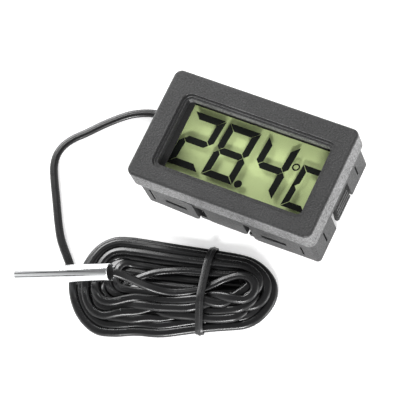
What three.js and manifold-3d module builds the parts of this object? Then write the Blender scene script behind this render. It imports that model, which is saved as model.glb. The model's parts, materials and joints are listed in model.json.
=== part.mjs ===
// Panel thermometer for a darkroom: snap-in display module, probe cable and sensor probe.
// Millimetres. +X to the right of the display, +Y up the display, +Z out of its front.
// The origin is the centre of the rear face, which lies on the table.
import * as THREE from 'three';
import { mergeVertices } from 'three/addons/utils/BufferGeometryUtils.js';
import Module from 'manifold-3d';

const wasm = await Module();
wasm.setup();

// ---- driving dimensions ----
const BEZEL_W = 48;
const BEZEL_H = 28.6;
const DEPTH = 17.2;
const BEZEL_T = 5.85;
const BEZEL_R = 1.9;
const EDGE_R = 0.6;
const BODY_W = 46;
const BODY_H = 27;
const WALL = 1.4;
const GAP = 0.3;
const FLANGE_Z = DEPTH - BEZEL_T;

// the window in the bezel: two shallow steps, then a straight wall down to the display
const WINDOW = { x0: -18.2, x1: 19.2, y0: -9.4, y1: 8.4 };
const RIM_OUT = 1.15;
const RIM_MID = 0.55;
const RIM_OUT_Z = DEPTH - 0.45;
const RIM_MID_Z = DEPTH - 0.75;
const PLATE_Z = 14.7;

// display stack, from the front glass back to the circuit board
const GLASS_T = 1.0;
const FILM_T = 0.2;
const DISPLAY_Z = 14.25;
const BOARD_Z = 9.25;
const BOARD_T = 1.0;

// two button cells, lying flat between the board and the battery door
const CELL_R = 5.8;
const CELL_T = 5.4;
const CELL_X = 6.4;
const CELL_Z = 1.95;
const COVER_T = 1.4;
const DOOR = { w: 28, h: 14.8, t: 0.9 };

// ratchet tongue in each end wall
const NOTCH_Y = 0.2;
const TONGUE_Y = 0.6;
const TONGUE_TIP_W = 7.0;
const TONGUE_ROOT_W = 5.2;
const TONGUE_TOP_Z = 6.9;
const TONGUE_END_Z = 0.6;
const TONGUE_T = 1.1;
const NOTCH_W = 9;
const NOTCH_TOP_Z = TONGUE_TOP_Z + GAP;

// slots in the long walls
const WALL_SLOT_Z = 7.2;
const SLOTS = [[-8.6, -6.1], [4.3, 6.1]];
const WINDOW_Z0 = 3.5;
const WINDOW_Z1 = 5.0;
const LATCHES = [[-17, -11.2], [8.6, 15]];
const HOOK_GAP = 1.3;

// board screws: x, y
const SCREWS = [[-20.2, 8.5], [-20.2, -8.5], [20.5, 8.5], [20.5, -8.5]];
const SCREW_R = 0.5;
const HEAD_R = 1.0;

// probe cable: a flat twin lead, one metre from the grommet to the probe
const CABLE_D = 2.1;
const EXIT = { x: -25.6, y: 8.2, z: 2.5 };
const LEAD = [
  [-25.9, 8.2, 2.5], [-28, 7.9, 2.0], [-30.4, 7.2, 1.4], [-33.3, 6.4, 1.1], [-37, 4.5, 1.1],
  [-41.6, 0.4, 1.1], [-45, -3.4, 1.1], [-47.4, -5.9, 1.1], [-49, -8.5, 1.1], [-49.5, -11.2, 1.1],
  [-48.9, -14, 1.1], [-47.4, -16.8, 1.1], [-44.2, -21.8, 1.1], [-40.6, -27.4, 1.1],
  [-38.4, -30.4, 1.1], [-36, -32.8, 1.2], [-34.4, -34.2, 1.4],
];
const TAIL = [
  [-18.6, -35.6, 9.1], [-16.6, -35.3, 8.7], [-14, -35, 7.6], [-11, -34.7, 6.2], [-7.5, -34.2, 5.5],
  [-4, -33.4, 5.35], [-1.5, -32.2, 5.35], [0, -31.2, 5.35],
];

// the hank: u runs along it, v across it, turned by HANK_TURN about its centre
const HANK = { x: -6.8, y: -32.3, turn: THREE.MathUtils.degToRad(16), z0: 0.9, z1: 4.2 };
const HANK_LEFT = { u: -14.8, v: -0.5, r: 10.5 };
const HANK_RIGHT = { u: 17.6, v: 0.7, r: 7.6 };
const TIE = { u: 8.4, w: 2.2, t: 0.45, v0: -9.2, v1: 10.1, z0: 0.05, z1: 6.0 };

// the probe lies with its tip on the table and its other end on the hank
const PROBE_R = 2.1;
const PROBE_WALL = 0.35;
const PROBE_TIP = new THREE.Vector3(-44.3, -43.3, 2.15);
const PROBE_END = new THREE.Vector3(-19.3, -35.8, 9.0);

// ---- colours ----
const PLASTIC = { color: 0x55565a, roughness: 0.6, metalness: 0 };
const BLACK = { color: 0x141414, roughness: 0.7, metalness: 0 };
const CABLE = { color: 0x101010, roughness: 0.35, metalness: 0 };
const GLASS = { color: 0xdfe8e2, roughness: 0.1, metalness: 0 };
const GREEN = { color: 0xa3bd7f, roughness: 0.5, metalness: 0 };
const BOARD = { color: 0x1f6b3a, roughness: 0.5, metalness: 0 };
const STEEL = { color: 0xc9cbcc, roughness: 0.2, metalness: 1 };
const TINNED = { color: 0xd8c27a, roughness: 0.3, metalness: 1 };
const CERAMIC = { color: 0xb89a72, roughness: 0.6, metalness: 0 };

// ---- shared geometry helpers ----
function solid(geometry) {
  const bare = geometry.clone();
  bare.deleteAttribute('normal');
  bare.deleteAttribute('uv');
  const merged = mergeVertices(bare, 1e-5);
  return new wasm.Manifold(new wasm.Mesh({
    numProp: 3,
    vertProperties: new Float32Array(merged.attributes.position.array),
    triVerts: new Uint32Array(merged.index.array),
  }));
}

function geometryOf(body) {
  const mesh = body.getMesh();
  const geometry = new THREE.BufferGeometry();
  geometry.setAttribute('position', new THREE.BufferAttribute(new Float32Array(mesh.vertProperties), 3));
  geometry.setIndex(new THREE.BufferAttribute(new Uint32Array(mesh.triVerts), 1));
  return geometry;
}

function roundedRect(x0, x1, y0, y1, r) {
  const shape = new THREE.Shape();
  shape.moveTo(x0 + r, y0);
  shape.lineTo(x1 - r, y0);
  shape.absarc(x1 - r, y0 + r, r, -Math.PI / 2, 0, false);
  shape.lineTo(x1, y1 - r);
  shape.absarc(x1 - r, y1 - r, r, 0, Math.PI / 2, false);
  shape.lineTo(x0 + r, y1);
  shape.absarc(x0 + r, y1 - r, r, Math.PI / 2, Math.PI, false);
  shape.lineTo(x0, y0 + r);
  shape.absarc(x0 + r, y0 + r, r, Math.PI, Math.PI * 1.5, false);
  return shape;
}

function prism(shape, z0, z1, curveSegments = 5) {
  const geometry = new THREE.ExtrudeGeometry(shape, { depth: z1 - z0, bevelEnabled: false, curveSegments });
  return geometry.translate(0, 0, z0);
}

function box(x0, x1, y0, y1, z0, z1) {
  const geometry = new THREE.BoxGeometry(x1 - x0, y1 - y0, z1 - z0);
  return geometry.translate((x0 + x1) / 2, (y0 + y1) / 2, (z0 + z1) / 2);
}

function post(x, y, z0, z1, r, sides = 16) {
  const geometry = new THREE.CylinderGeometry(r, r, z1 - z0, sides);
  return geometry.rotateX(Math.PI / 2).translate(x, y, (z0 + z1) / 2);
}

function polygon(points) {
  return new THREE.Shape(points.map(([x, y]) => new THREE.Vector2(x, y)));
}

function circle(r, sides) {
  const shape = new THREE.Shape();
  for (let i = 0; i < sides; i += 1) {
    const a = (i / sides) * Math.PI * 2;
    if (i === 0) shape.moveTo(r, 0);
    else shape.lineTo(r * Math.cos(a), r * Math.sin(a));
  }
  shape.closePath();
  return shape;
}

function tube(points, d, steps) {
  const path = new THREE.CatmullRomCurve3(points.map((p) => new THREE.Vector3(...p)), false, 'centripetal');
  return new THREE.ExtrudeGeometry(circle(d / 2, 8), { steps, extrudePath: path, bevelEnabled: false });
}

function joined(first, ...rest) {
  return rest.reduce((body, geometry) => body.add(solid(geometry)), solid(first));
}

function cut(body, geometries) {
  return geometries.reduce((left, geometry) => left.subtract(solid(geometry)), body);
}

const group = new THREE.Group();
group.name = 'darkroom_thermometer';

function part(name, geometry, look) {
  const mesh = new THREE.Mesh(geometry, new THREE.MeshStandardMaterial(look));
  mesh.name = name;
  group.add(mesh);
  return mesh;
}

// ---- front housing: bezel, window, side walls with their slots, and screw bosses ----
function bezelBlock() {
  const inset = EDGE_R;
  const shape = roundedRect(
    -BEZEL_W / 2 + inset, BEZEL_W / 2 - inset, -BEZEL_H / 2 + inset, BEZEL_H / 2 - inset, BEZEL_R - inset);
  const geometry = new THREE.ExtrudeGeometry(shape, {
    depth: BEZEL_T, bevelThickness: EDGE_R, bevelSize: EDGE_R, bevelSegments: 3, curveSegments: 5,
  });
  geometry.translate(0, 0, FLANGE_Z - EDGE_R);
  return cut(solid(geometry), [box(-30, 30, -20, 20, FLANGE_Z - 5, FLANGE_Z)]);
}

function windowStep(out, z) {
  const { x0, x1, y0, y1 } = WINDOW;
  return prism(roundedRect(x0 - out, x1 + out, y0 - out, y1 + out, 1.1 + out), z, DEPTH + 1);
}

function flapFlare(side) {
  const y = BODY_H / 2;
  const flare = 0.35;
  const left = polygon([[-20.2, y - 0.5], [-8.6, y - 0.5], [-8.6, y + flare], [-20.2, y]]);
  const right = polygon([[6.1, y - 0.5], [18.9, y - 0.5], [18.9, y], [6.1, y + 0.2]]);
  return [left, right].map((shape) => {
    const geometry = prism(shape, 0, WALL_SLOT_Z + 2);
    return side > 0 ? geometry : geometry.rotateX(Math.PI).translate(0, 0, WALL_SLOT_Z + 2);
  });
}

function longWallCuts(side) {
  const near = side * (BODY_H / 2 - WALL - 1);
  const far = side * (BODY_H / 2 + 1);
  const [y0, y1] = [Math.min(near, far), Math.max(near, far)];
  const cuts = [
    box(-7, 5, y0, y1, -1, 0.8),
    box(-20.7, -20.2, y0, y1, 2, WALL_SLOT_Z + 0.6),
    box(18.9, 19.4, y0, y1, 1.8, WALL_SLOT_Z - 0.6),
  ];
  for (const [x0, x1] of SLOTS) cuts.push(box(x0, x1, y0, y1, -1, WALL_SLOT_Z));
  for (const [x0, x1] of LATCHES) cuts.push(box(x0, x1, y0, y1, WINDOW_Z0, WINDOW_Z1));
  for (const x of SLOTS.flat()) {
    const bevel = new THREE.BoxGeometry(1.6, y1 - y0, 1.6);
    const foot = x === SLOTS[0][1] || x === SLOTS[1][0] ? 0.8 : 0;
    cuts.push(bevel.rotateY(Math.PI / 4).translate(x, (y0 + y1) / 2, foot - 0.35));
  }
  return cuts;
}

function endWallCuts(side) {
  const near = side * (BODY_W / 2 - WALL - 1);
  const far = side * (BODY_W / 2 + 0.9);
  const [x0, x1] = [Math.min(near, far), Math.max(near, far)];
  const half = NOTCH_W / 2;
  return [
    box(x0, x1, NOTCH_Y - half, NOTCH_Y + half, -1, NOTCH_TOP_Z),
    box(x0, x1, 8.75, 9.25, 2.8, WALL_SLOT_Z),
    box(x0, x1, -8.9, -8.4, 2.4, WALL_SLOT_Z),
  ];
}

function cableNotch() {
  const shape = roundedRect(EXIT.y - 1.9, EXIT.y + 1.9, -3, 4.4, 1.2);
  const geometry = new THREE.ExtrudeGeometry(shape, { depth: 4, bevelEnabled: false, curveSegments: 5 });
  return geometry.rotateY(Math.PI / 2).rotateX(Math.PI / 2).translate(-24.6, 0, 0);
}

function frontHousing() {
  const bodyShape = roundedRect(-BODY_W / 2, BODY_W / 2, -BODY_H / 2, BODY_H / 2, 1);
  let body = bezelBlock().add(solid(prism(bodyShape, 0, FLANGE_Z + 1)));
  for (const side of [-1, 1]) for (const flap of flapFlare(side)) body = body.add(solid(flap));
  const inX = BODY_W / 2 - WALL;
  const inY = BODY_H / 2 - WALL;
  body = cut(body, [
    prism(roundedRect(-inX, inX, -inY, inY, 0.6), -1, PLATE_Z),
    windowStep(0, PLATE_Z - 1),
    windowStep(RIM_MID, RIM_MID_Z),
    windowStep(RIM_OUT, RIM_OUT_Z),
    ...longWallCuts(-1), ...longWallCuts(1), ...endWallCuts(-1), ...endWallCuts(1), cableNotch(),
  ]);
  for (const [x, y] of SCREWS) {
    const bossR = x < 0 ? 1.25 : 0.95;
    body = body.add(solid(post(x, y, BOARD_Z + BOARD_T + 0.02, PLATE_Z + 0.5, bossR)));
    body = body.subtract(solid(post(x, y, BOARD_Z, BOARD_Z + 4.2, SCREW_R + 0.05)));
  }
  return geometryOf(body);
}

// ---- ratchet tongue: a toothed plate hanging from the end wall, narrower at its root ----
function snapTongue(side) {
  const face = BODY_W / 2;
  const back = face - TONGUE_T;
  const teeth = 4;
  const pitch = 1.35;
  const outline = [[back, TONGUE_TOP_Z], [back, TONGUE_END_Z], [face - 0.45, TONGUE_END_Z]];
  for (let i = 0; i < teeth; i += 1) {
    const z = TONGUE_END_Z + 0.5 + i * pitch;
    outline.push([face - 0.05, z], [face + 0.25, z + pitch * 0.3]);
    outline.push([face + 0.25, z + pitch * 0.8], [face - 0.05, z + pitch * 0.86]);
  }
  outline.push([face - 0.05, TONGUE_TOP_Z]);
  const plate = new THREE.ExtrudeGeometry(polygon(outline), { depth: NOTCH_W, bevelEnabled: false });
  plate.rotateX(Math.PI / 2).translate(0, NOTCH_Y + NOTCH_W / 2, 0);
  const root = TONGUE_ROOT_W / 2;
  const tip = TONGUE_TIP_W / 2;
  const mask = prism(polygon([[-tip, TONGUE_END_Z - 1], [tip, TONGUE_END_Z - 1],
    [root, TONGUE_TOP_Z + 0.1], [-root, TONGUE_TOP_Z + 0.1]]), 0, 10);
  mask.rotateX(Math.PI / 2).rotateZ(Math.PI / 2).translate(face - 5, TONGUE_Y, 0);
  const geometry = geometryOf(solid(plate).intersect(solid(mask)));
  return side > 0 ? geometry : mirroredX(geometry);
}

function mirroredX(geometry) {
  const flipped = geometry.clone();
  const position = flipped.attributes.position;
  for (let i = 0; i < position.count; i += 1) position.setX(i, -position.getX(i));
  const index = flipped.index.array;
  for (let i = 0; i < index.length; i += 3) [index[i], index[i + 1]] = [index[i + 1], index[i]];
  return flipped;
}

// ---- rear cover: plate with keys in the wall slots, cell well and four latch arms ----
function rearCover() {
  const w = BODY_W / 2 - WALL - 0.4;
  const h = BODY_H / 2 - WALL - 0.3;
  const wellX = CELL_X + CELL_R + 0.4;
  const wellY = CELL_R + 0.4;
  const wellTop = 7.2;
  const [doorX, doorY] = [DOOR.w / 2 + 0.2, DOOR.h / 2 + 0.2];
  let body = joined(
    prism(roundedRect(-w, w, -h, h, 0.6), 0, COVER_T),
    prism(roundedRect(-wellX - 0.9, wellX + 0.9, -wellY - 0.9, wellY + 0.9, 3.9), 0.5, wellTop),
  );
  body = cut(body, [
    prism(roundedRect(-wellX, wellX, -wellY, wellY, 3), -1, wellTop + 1),
    prism(roundedRect(-doorX, doorX, -doorY, doorY, 1.4), -1, 0.95),
    box(-30, -w + 1.4, NOTCH_Y - 5, NOTCH_Y + 5, -1, 2),
    box(w - 1.4, 30, NOTCH_Y - 5, NOTCH_Y + 5, -1, 2),
    box(-30, -w + 2.3, EXIT.y - 2.5, EXIT.y + 2.5, -1, 2),
  ]);
  for (const side of [-1, 1]) {
    for (const [x0, x1] of SLOTS) {
      const key = [side * (h - 0.5), side * (BODY_H / 2 - 0.3)].sort((a, b) => a - b);
      body = body.add(solid(box(x0 + 0.2, x1 - 0.2, ...key, 0, COVER_T)));
    }
    for (const [x0, x1] of LATCHES) {
      const arm = polygon([[h - 0.9, 1], [h, 1], [h, WINDOW_Z0 + 0.2], [h + 1.2, WINDOW_Z0 + 0.2],
        [h + 1.2, WINDOW_Z1 - 0.5], [h, WINDOW_Z1 - 0.2], [h - 0.9, WINDOW_Z1 + 0.3]]);
      const hook = new THREE.ExtrudeGeometry(arm, { depth: x1 - x0 - HOOK_GAP - GAP, bevelEnabled: false });
      hook.rotateX(Math.PI / 2).rotateZ(Math.PI / 2).translate(x0 + HOOK_GAP, 0, 0);
      body = body.add(solid(side > 0 ? hook : mirroredY(hook)));
    }
  }
  return geometryOf(body);
}

function mirroredY(geometry) {
  return mirroredX(mergeVertices(geometry).rotateZ(Math.PI / 2)).rotateZ(-Math.PI / 2);
}

// ---- battery door with a nail recess, and the spring strip that links the two cells ----
function batteryDoor() {
  const plate = roundedRect(-DOOR.w / 2, DOOR.w / 2, -DOOR.h / 2, DOOR.h / 2, 1.3);
  const nail = new THREE.CylinderGeometry(2.2, 2.2, 1, 20).rotateX(Math.PI / 2);
  nail.translate(0, -DOOR.h / 2 - 0.6, -0.05);
  return geometryOf(cut(solid(prism(plate, 0, DOOR.t)), [nail]));
}

function cellLink() {
  const strip = [
    [-10, 0.93], [-10, 1.15], [-9, 1.15], [-6.4, 1.85], [-3.8, 1.15], [3.8, 1.15], [6.4, 1.85], [9, 1.15],
    [10, 1.15], [10, 0.93], [8.8, 0.93], [6.4, 1.6], [4, 0.93], [-4, 0.93], [-6.4, 1.6], [-8.8, 0.93],
  ];
  const geometry = new THREE.ExtrudeGeometry(polygon(strip), { depth: 4, bevelEnabled: false });
  return geometry.rotateX(Math.PI / 2).translate(0, 2, 0);
}

// ---- button cell: rolled can with a stepped cap on one side ----
function buttonCell(capUp) {
  const profile = [
    [0, 0], [CELL_R - 0.3, 0], [CELL_R, 0.3], [CELL_R, CELL_T - 0.7],
    [CELL_R - 0.4, CELL_T - 0.3], [CELL_R - 1, CELL_T - 0.3], [CELL_R - 1.3, CELL_T], [0, CELL_T],
  ];
  const geometry = new THREE.LatheGeometry(profile.map(([r, z]) => new THREE.Vector2(r, z)), 32);
  geometry.rotateX(Math.PI / 2);
  if (!capUp) geometry.rotateX(Math.PI).translate(0, 0, CELL_T);
  return geometry;
}

// ---- leaf contact between a cell and the board ----
function cellContact() {
  const z = CELL_Z + CELL_T;
  return geometryOf(joined(
    box(-3.5, 4.6, -2, 2, z + 0.1, z + 0.35),
    box(4.2, 4.6, -1.2, 1.2, z + 0.2, BOARD_Z - 0.02),
    box(2.6, 4.6, -1.2, 1.2, BOARD_Z - 0.27, BOARD_Z - 0.02),
  ));
}

// ---- display: gasket, polarisers, glass and the two rubber contact strips ----
function gasket() {
  const outer = roundedRect(-18.8, 19.5, -11.4, 10.4, 0.5);
  outer.holes.push(roundedRect(-16.8, 19.3, -9.5, 8.5, 0.4));
  return prism(outer, DISPLAY_Z + 0.03, PLATE_Z - 0.03);
}

function addDisplay() {
  const x0 = -18.7;
  const x1 = 19.4;
  const front = DISPLAY_Z - FILM_T;
  const middle = front - GLASS_T - 0.02;
  const back = middle - GLASS_T - 0.02;
  part('lcd_gasket', gasket(), BLACK);
  part('lcd_front_polariser', box(x0 + 0.2, x1 - 0.05, -11, 10, front + 0.01, DISPLAY_Z), GLASS);
  part('lcd_front_glass', box(x0, x1, -11.4, 10.4, front - GLASS_T, front), GLASS);
  part('lcd_rear_glass', box(x0, x1, -9.9, 8.9, middle - GLASS_T, middle), GLASS);
  part('lcd_reflector', box(x0 + 0.2, x1 - 0.2, -9.8, 8.8, back - FILM_T, back), GREEN);
  const boardFace = BOARD_Z + BOARD_T;
  part('contact_strip_upper', box(-16.5, 17, 9.1, 10.3, boardFace + 0.02, front - GLASS_T - 0.02), BLACK);
  part('contact_strip_lower', box(-16.5, 17, -11.3, -10.1, boardFace + 0.02, front - GLASS_T - 0.02), BLACK);
}

// ---- circuit board and what is soldered to its rear side ----
function circuitBoard() {
  const plate = prism(roundedRect(-21.3, 21.3, -11.7, 11.7, 0.5), BOARD_Z, BOARD_Z + BOARD_T);
  const holes = SCREWS.map(([x, y]) => post(x, y, BOARD_Z - 1, BOARD_Z + BOARD_T + 1, SCREW_R + 0.1));
  return geometryOf(cut(solid(plate), holes));
}

function chipBlob() {
  const profile = [];
  const steps = 5;
  for (let i = 0; i <= steps; i += 1) {
    const a = (i / steps) * (Math.PI / 2);
    profile.push(new THREE.Vector2(3 * Math.sin(a), -1.1 * Math.cos(a)));
  }
  profile.push(new THREE.Vector2(0, 0));
  return new THREE.LatheGeometry(profile, 20).rotateX(Math.PI / 2).translate(16.6, 0.2, BOARD_Z - 0.02);
}

function surfacePart(x, y, length) {
  const base = BOARD_Z - 0.02;
  return box(x - length / 2, x + length / 2, y - 0.6, y + 0.6, base - 0.55, base);
}

function boardScrew([x, y]) {
  const head = BOARD_Z - 0.02;
  const slot = box(x - 0.7, x + 0.7, y - 0.12, y + 0.12, head - 1, head - 0.45);
  return geometryOf(cut(joined(
    post(x, y, head - 0.75, head, HEAD_R),
    post(x, y, head - 0.1, BOARD_Z + 4, SCREW_R),
  ), [slot]));
}

// ---- cable grommet: a waisted block that sits in the notch of the end wall ----
function grommet() {
  const slab = (x0, x1, halfY, z0, z1, r) => {
    const shape = roundedRect(EXIT.y - halfY, EXIT.y + halfY, z0, z1, r);
    const options = { depth: x1 - x0, bevelEnabled: false, curveSegments: 4 };
    const geometry = new THREE.ExtrudeGeometry(shape, options);
    return geometry.rotateY(Math.PI / 2).rotateX(Math.PI / 2).translate(x0, 0, 0);
  };
  const wall = BODY_W / 2;
  return geometryOf(joined(
    slab(-wall - 0.1, -wall + WALL + 0.1, 1.6, 0.5, 4.1, 1),
    slab(-wall + WALL + 0.05, -20.4, 2.2, 0.5, 4.7, 1),
    slab(EXIT.x, -wall, 1.4, 1.2, 3.8, 0.9),
  ));
}

function innerWire(offset) {
  const y = EXIT.y + offset;
  return tube([[-20.1, y, 2.6], [-18.6, y, 3], [-17.6, y + offset * 0.3, 5], [-17.4, y + offset * 0.8, 7.4],
    [-17.2, y + offset, 9.2]], 0.7, 14);
}

// ---- the free cable: a plain tube where it lies loose, one plain solid for the hank ----
function hankOutline() {
  const { u: ul, v: vl, r: rl } = HANK_LEFT;
  const { u: ur, v: vr, r: rr } = HANK_RIGHT;
  const axis = Math.atan2(vr - vl, ur - ul);
  const lean = Math.acos((rl - rr) / Math.hypot(ur - ul, vr - vl));
  const shape = new THREE.Shape();
  shape.absarc(ur, vr, rr, axis - lean, axis + lean, false);
  shape.absarc(ul, vl, rl, axis + lean, axis - lean + Math.PI * 2, false);
  return shape;
}

function inHankFrame(geometry) {
  return geometry.rotateZ(HANK.turn).translate(HANK.x, HANK.y, 0);
}

function probeAxisGeometry(geometry) {
  const axis = PROBE_END.clone().sub(PROBE_TIP).normalize();
  const turn = new THREE.Quaternion().setFromUnitVectors(new THREE.Vector3(0, 1, 0), axis);
  return geometry.applyQuaternion(turn).translate(PROBE_TIP.x, PROBE_TIP.y, PROBE_TIP.z);
}

function hank() {
  const loop = inHankFrame(prism(hankOutline(), HANK.z0, HANK.z1, 12));
  const reach = PROBE_TIP.distanceTo(PROBE_END) + 2;
  const roomR = PROBE_R + 0.35;
  const room = new THREE.CylinderGeometry(roomR, roomR, reach, 16).translate(0, reach / 2, 0);
  return geometryOf(cut(solid(loop), [probeAxisGeometry(room)]));
}

function cableTie() {
  const { v0, v1, z0, z1, t, w } = TIE;
  const outer = roundedRect(v0, v1, z0, z1, 2);
  outer.holes.push(roundedRect(v0 + t, v1 - t, z0 + t, z1 - t, 1.5));
  const ring = new THREE.ExtrudeGeometry(outer, { depth: w, bevelEnabled: false, curveSegments: 5 });
  ring.rotateY(Math.PI / 2).rotateX(Math.PI / 2).translate(TIE.u - w / 2, 0, 0);
  return inHankFrame(ring);
}

// ---- probe: thin closed tube, the resin that seals it, and the sensor bead inside ----
function probeSleeve(length) {
  const bore = PROBE_R - PROBE_WALL;
  const profile = [];
  const steps = 5;
  for (let i = 0; i <= steps; i += 1) {
    const a = (i / steps) * (Math.PI / 2);
    profile.push([PROBE_R - 1.2 + 1.2 * Math.sin(a), 1.2 - 1.2 * Math.cos(a)]);
  }
  profile.unshift([0, 0]);
  profile.push([PROBE_R, length], [bore, length], [bore, 1.4], [0, 1.4]);
  return new THREE.LatheGeometry(profile.map(([r, y]) => new THREE.Vector2(r, y)), 28);
}

function addProbe() {
  const length = PROBE_TIP.distanceTo(PROBE_END);
  const bore = PROBE_R - PROBE_WALL - 0.02;
  const sealLength = 6;
  const seal = new THREE.CylinderGeometry(bore, bore, sealLength, 24);
  const bead = new THREE.SphereGeometry(1.1, 16, 10);
  part('probe_sleeve', probeAxisGeometry(probeSleeve(length)), STEEL);
  part('probe_seal', probeAxisGeometry(seal.translate(0, length - sealLength / 2 - 0.3, 0)), BLACK);
  part('thermistor_bead', probeAxisGeometry(bead.translate(0, 3.2, 0)), BLACK);
}

// ---- assembly ----
part('front_housing', frontHousing(), PLASTIC);
part('snap_tongue_right', snapTongue(1), PLASTIC);
part('snap_tongue_left', snapTongue(-1), PLASTIC);
part('rear_cover', rearCover(), PLASTIC);
part('battery_door', batteryDoor(), PLASTIC);
part('cell_link', cellLink(), STEEL);
for (const [name, x, capUp] of [['button_cell_1', -CELL_X, true], ['button_cell_2', CELL_X, false]]) {
  part(name, buttonCell(capUp), STEEL).position.set(x, 0, CELL_Z);
}
for (const [name, x] of [['cell_contact_negative', -CELL_X], ['cell_contact_positive', CELL_X]]) {
  part(name, cellContact(), TINNED).position.set(x, 0, 0);
}
addDisplay();
part('circuit_board', circuitBoard(), BOARD);
part('chip_blob', chipBlob(), BLACK);
part('resistor_1', surfacePart(-17.4, -3, 2), BLACK);
part('resistor_2', surfacePart(-17.4, -5.5, 2), BLACK);
part('capacitor_1', surfacePart(16.6, 6, 2), CERAMIC);
part('capacitor_2', surfacePart(16.6, -6, 2), CERAMIC);
SCREWS.forEach((place, i) => part(`board_screw_${i + 1}`, boardScrew(place), STEEL));
part('cable_grommet', grommet(), BLACK);
part('sensor_wire_1', innerWire(0.75), BLACK);
part('sensor_wire_2', innerWire(-0.75), BLACK);
part('probe_cable_lead', tube(LEAD, CABLE_D, 42), CABLE);
part('probe_cable_hank', hank(), CABLE);
part('probe_cable_tail', tube(TAIL, CABLE_D, 16), CABLE);
part('cable_tie', cableTie(), BLACK);
addProbe();

export default group;
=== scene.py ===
"""Darkroom thermometer: a snap-in display module on its back, a probe, and its cable tied in a hank.

Metres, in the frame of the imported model: +X to the right of the display, +Y up it, +Z out of its front.
The sections follow the object from the probe cable inwards, as it comes apart on a bench.
"""
import json
import math

import bmesh
import bpy
import numpy as np
from mathutils import Matrix, Vector

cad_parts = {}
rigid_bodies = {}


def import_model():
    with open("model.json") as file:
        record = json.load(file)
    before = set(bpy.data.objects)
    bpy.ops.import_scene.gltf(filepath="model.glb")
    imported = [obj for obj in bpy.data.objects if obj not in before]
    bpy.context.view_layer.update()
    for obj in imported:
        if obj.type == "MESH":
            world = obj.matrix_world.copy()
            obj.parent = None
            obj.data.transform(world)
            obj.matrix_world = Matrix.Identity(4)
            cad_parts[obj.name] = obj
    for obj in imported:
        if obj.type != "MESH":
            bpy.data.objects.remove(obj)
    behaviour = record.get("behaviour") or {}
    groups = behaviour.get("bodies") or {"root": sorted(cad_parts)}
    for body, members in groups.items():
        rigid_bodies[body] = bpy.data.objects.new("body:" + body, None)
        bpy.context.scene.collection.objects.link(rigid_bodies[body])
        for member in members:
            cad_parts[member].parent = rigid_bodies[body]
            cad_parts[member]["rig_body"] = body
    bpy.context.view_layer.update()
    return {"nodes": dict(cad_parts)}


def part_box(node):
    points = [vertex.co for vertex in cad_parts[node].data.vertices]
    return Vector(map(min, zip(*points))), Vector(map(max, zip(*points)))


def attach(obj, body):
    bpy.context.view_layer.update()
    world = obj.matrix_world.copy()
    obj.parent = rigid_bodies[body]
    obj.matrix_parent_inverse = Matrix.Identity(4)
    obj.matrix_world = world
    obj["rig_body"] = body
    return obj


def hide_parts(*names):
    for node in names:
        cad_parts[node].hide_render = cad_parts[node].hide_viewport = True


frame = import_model()
scene = bpy.context.scene
MM = 0.001

# ---------------------------------------------------------------------------------------------
# Camera: a long lens half a metre away, above the front right corner of the module, rolled so
# that the module's long side falls to the right.
# ---------------------------------------------------------------------------------------------
AIM = Vector((-0.0109, -0.00926, 0.0))
CAMERA_AZIMUTH = math.radians(53.88)
CAMERA_ELEVATION = math.radians(63.44)
CAMERA_DISTANCE = 0.5121
CAMERA_ROLL = math.radians(-30.65)

camera_data = bpy.data.cameras.new("camera")
camera_data.lens = 193.8
camera_data.sensor_width = 36
camera_data.clip_start = 0.01
camera = bpy.data.objects.new("camera", camera_data)
scene.collection.objects.link(camera)
away = Vector((
    math.sin(CAMERA_AZIMUTH) * math.cos(CAMERA_ELEVATION),
    -math.cos(CAMERA_AZIMUTH) * math.cos(CAMERA_ELEVATION),
    math.sin(CAMERA_ELEVATION),
))
camera.location = AIM + away * CAMERA_DISTANCE
camera.rotation_mode = "QUATERNION"
level = (-away).to_track_quat("-Z", "Y").to_matrix()
camera.rotation_quaternion = (level @ Matrix.Rotation(CAMERA_ROLL, 3, "Z")).to_quaternion()
scene.camera = camera

# ---------------------------------------------------------------------------------------------
# Probe cable: one metre of black PVC twin lead, moulded flat with a shallow groove between its
# cores. It leaves the grommet, lies loose, goes round the hank ten times and ends in the probe.
# ---------------------------------------------------------------------------------------------
CABLE_WIDTH = 2.1 * MM
CABLE_THICK = 1.35 * MM
GROOVE_DEPTH = 0.12  # of half the thickness
GROOVE_WIDTH = 0.22 * MM
CABLE_STEP = 0.9 * MM
TIGHTEST_BEND = 3.6 * MM
CABLE_TURNS = 10
OUTER_TURNS = 6
FIRST_TURN_STRAY = 1.6
LEVEL_SHARE = 0.6  # of each turn; over the rest of it the cable moves over to the next one
POINTS_PER_TURN = 32
HANK_CENTRE = Vector((-0.0068, -0.0323, 0))
HANK_TURN = math.radians(16)
# the loose lead, from the grommet to the left end of the hank
LEAD = [
    (-0.0259, 0.0082, 0.0025), (-0.028, 0.0079, 0.002), (-0.0304, 0.0072, 0.0014),
    (-0.0333, 0.0064, 0.0011), (-0.037, 0.0045, 0.0011), (-0.0416, 0.0004, 0.0011),
    (-0.045, -0.0034, 0.0011), (-0.0474, -0.0059, 0.0011), (-0.049, -0.0085, 0.0011),
    (-0.0495, -0.0112, 0.0011), (-0.0489, -0.014, 0.0011), (-0.0474, -0.0168, 0.0011),
    (-0.0442, -0.0218, 0.0011), (-0.0406, -0.0274, 0.0011), (-0.0384, -0.0304, 0.0011),
    (-0.036, -0.0328, 0.0012), (-0.0344, -0.0342, 0.0014),
]
# the tail, from the probe's open end back down to the hank
TAIL = [
    (-0.0186, -0.0356, 0.0091), (-0.0166, -0.0353, 0.0087), (-0.014, -0.035, 0.0076),
    (-0.011, -0.0347, 0.0062), (-0.0075, -0.0342, 0.0055), (-0.004, -0.0334, 0.00535),
    (-0.0015, -0.0322, 0.00535), (0, -0.0312, 0.00535),
]


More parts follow.
